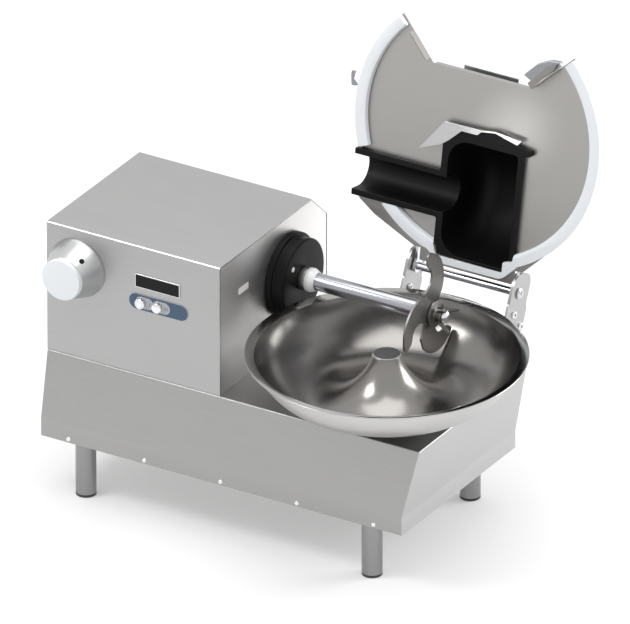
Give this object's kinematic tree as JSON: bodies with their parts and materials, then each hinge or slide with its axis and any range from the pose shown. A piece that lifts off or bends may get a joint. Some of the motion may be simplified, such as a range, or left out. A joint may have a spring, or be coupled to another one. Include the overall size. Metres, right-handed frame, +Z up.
{
  "type": "meat bowl cutter",
  "caption": "Tabletop meat bowl cutter: motor housing on a steel base, turning ring bowl, sickle knives on a long shaft, hinged lid with a moulded knife cover, and an attachment hub.",
  "frame": {"origin": "centre of the whole machine's bounding box, lid open, at the level of the floor under its feet", "axes": "+X from the motor housing to the bowl, +Y from the front to the lid's hinge, +Z up"},
  "size_m": [0.9054, 0.6792, 0.8745],
  "materials": {
    "brushed_steel": "brushed",
    "polished_steel": "polished",
    "chrome": "mirror",
    "blade_steel": "ground",
    "cast_aluminium": "satin",
    "cast_iron": "machined",
    "bronze": "machined",
    "black_plastic": "fine texture",
    "white_plastic": "satin",
    "panel_blue": "satin",
    "rubber": "matte",
    "motor_paint": "satin"
  },
  "bodies": {
    "machine": {"base_shell": "brushed_steel", "bottom_pan": "brushed_steel", "leg_front_left": "brushed_steel", "leg_front_right": "brushed_steel", "leg_rear_left": "brushed_steel", "leg_rear_right": "brushed_steel", "foot_front_left": "black_plastic", "foot_front_right": "black_plastic", "foot_rear_left": "black_plastic", "foot_rear_right": "black_plastic", "housing_wrapper": "brushed_steel", "housing_left_plate": "brushed_steel", "housing_right_plate": "brushed_steel", "control_panel": "panel_blue", "switch_block": "black_plastic", "hub_casting": "cast_aluminium", "hub_bush": "bronze", "shaft_cover": "black_plastic", "shaft_quill": "cast_iron", "main_bearing": "polished_steel", "left_bearing_block": "cast_iron", "motor_frame": "motor_paint", "gear_case": "cast_iron", "spindle_housing": "cast_aluminium", "hinge_bracket_left": "polished_steel", "hinge_bracket_right": "polished_steel", "cable_gland": "black_plastic", "safety_switch": "white_plastic", "motor_belt": "rubber", "bowl_belt": "rubber"},
    "knife_head": {"knife_shaft": "polished_steel", "shaft_collar": "brushed_steel", "shaft_sleeve": "white_plastic", "knife_rear": "blade_steel", "knife_middle": "blade_steel", "knife_front": "blade_steel", "knife_nut": "chrome", "shaft_pulley": "cast_iron"},
    "motor_rotor": {"motor_shaft": "polished_steel", "motor_pulley": "cast_iron"},
    "worm_drive": {"worm_shaft": "polished_steel", "worm_pulley": "cast_iron"},
    "power_take_off": {"pto_spindle": "polished_steel", "pto_wheel": "bronze"},
    "turning_bowl": {"bowl": "polished_steel", "bowl_cap": "black_plastic", "bowl_spindle": "polished_steel", "bowl_wheel": "bronze"},
    "start_push": {"start_button": "polished_steel"},
    "stop_push": {"stop_button": "polished_steel"},
    "plug": {"hub_plug": "white_plastic"},
    "lid": {"lid_panel": "brushed_steel", "lid_rim_left": "white_plastic", "lid_rim_right": "white_plastic", "lid_cover": "black_plastic", "lid_deflector": "brushed_steel", "lid_handle": "brushed_steel", "hinge_arm_left": "polished_steel", "hinge_arm_right": "polished_steel", "hinge_rod": "chrome"}
  },
  "joints": [
    {"name": "knife_spin", "type": "hinge", "parent": "machine", "child": "knife_head", "pos_m": [-0.09275, 0.04792, 0.419], "axis": [1, 0, 0], "continuous": true},
    {"name": "motor_spin", "type": "hinge", "parent": "machine", "child": "motor_rotor", "pos_m": [-0.25275, -0.08808, 0.359], "axis": [1, 0, 0], "continuous": true},
    {"name": "worm_spin", "type": "hinge", "parent": "machine", "child": "worm_drive", "pos_m": [-0.05275, -0.03408, 0.214], "axis": [1, 0, 0], "continuous": true},
    {"name": "pto_spin", "type": "hinge", "parent": "machine", "child": "power_take_off", "pos_m": [-0.38775, -0.08808, 0.455], "axis": [0, 1, 0], "continuous": true},
    {"name": "bowl_spin", "type": "hinge", "parent": "machine", "child": "turning_bowl", "pos_m": [0.19725, -0.08408, 0.274], "axis": [0, 0, 1], "continuous": true},
    {"name": "lid_hinge", "type": "hinge", "parent": "machine", "child": "lid", "pos_m": [0.19725, 0.19942, 0.4161], "axis": [1, 0, 0], "range_deg": [0, 100]},
    {"name": "start_press", "type": "slide", "parent": "machine", "child": "start_push", "axis": [0, 1, 0], "range_m": [0, 0.003], "stiffness_N_per_m": 400},
    {"name": "stop_press", "type": "slide", "parent": "machine", "child": "stop_push", "axis": [0, 1, 0], "range_m": [0, 0.003], "stiffness_N_per_m": 400},
    {"name": "hub_plug_pull", "type": "slide", "parent": "machine", "child": "plug", "axis": [0, -1, 0], "range_m": [0, 0.045]}
  ],
  "couplings": [
    {"joint": "motor_spin", "follows": "knife_spin", "ratio": 1},
    {"joint": "worm_spin", "follows": "knife_spin", "ratio": 0.5},
    {"joint": "pto_spin", "follows": "knife_spin", "ratio": 0.125},
    {"joint": "bowl_spin", "follows": "knife_spin", "ratio": 0.0125}
  ]
}
